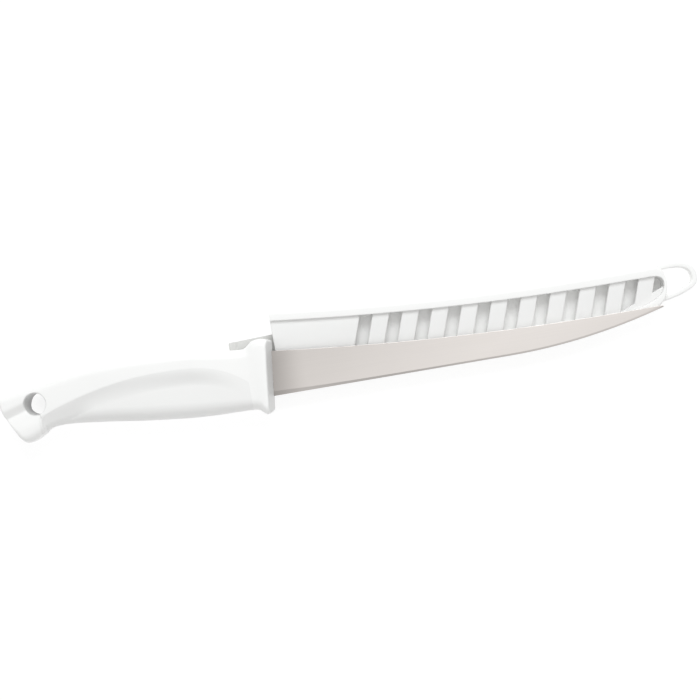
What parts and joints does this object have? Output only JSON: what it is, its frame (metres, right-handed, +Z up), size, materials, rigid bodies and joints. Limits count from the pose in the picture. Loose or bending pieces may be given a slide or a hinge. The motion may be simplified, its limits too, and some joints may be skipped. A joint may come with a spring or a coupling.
{
  "type": "fillet knife with sheath",
  "caption": "Slim fillet knife with a moulded white handle and a lanyard hole in its pommel, lying on its flat vented sheath with a hanging ring and a springy mouth tongue.",
  "frame": {"origin": "on the sheath's flat back, on the axis of a sheathed blade, 60 mm from the mouth", "axes": "+X along the blade towards the tip, +Y towards the blade's spine, +Z up, away from the surface that the sheath lies on"},
  "size_m": [0.3467, 0.0492, 0.0199],
  "materials": {
    "blade_steel": "satin, ground along the blade",
    "handle_plastic": "semi-gloss moulded",
    "grip_plastic": "fine matte grain",
    "sheath_plastic": "satin moulded",
    "tongue_plastic": "satin moulded"
  },
  "bodies": {
    "sheath": {"sheath_back": "sheath_plastic", "sheath_front": "sheath_plastic"},
    "tongue": {"retention_tongue": "tongue_plastic"},
    "knife": {"blade": "blade_steel", "handle_core": "handle_plastic", "handle_grip": "grip_plastic"}
  },
  "joints": [
    {"name": "tongue_flex", "type": "hinge", "parent": "sheath", "child": "tongue", "pos_m": [-0.042, -0.00035, 0.0008], "axis": [0, -1, 0], "range_deg": [0, 12], "stiffness_Nm_per_rad": 0.5},
    {"name": "knife_lift", "type": "slide", "parent": "sheath", "child": "knife", "axis": [0, 0, 1], "range_m": [0, 0.06]}
  ]
}
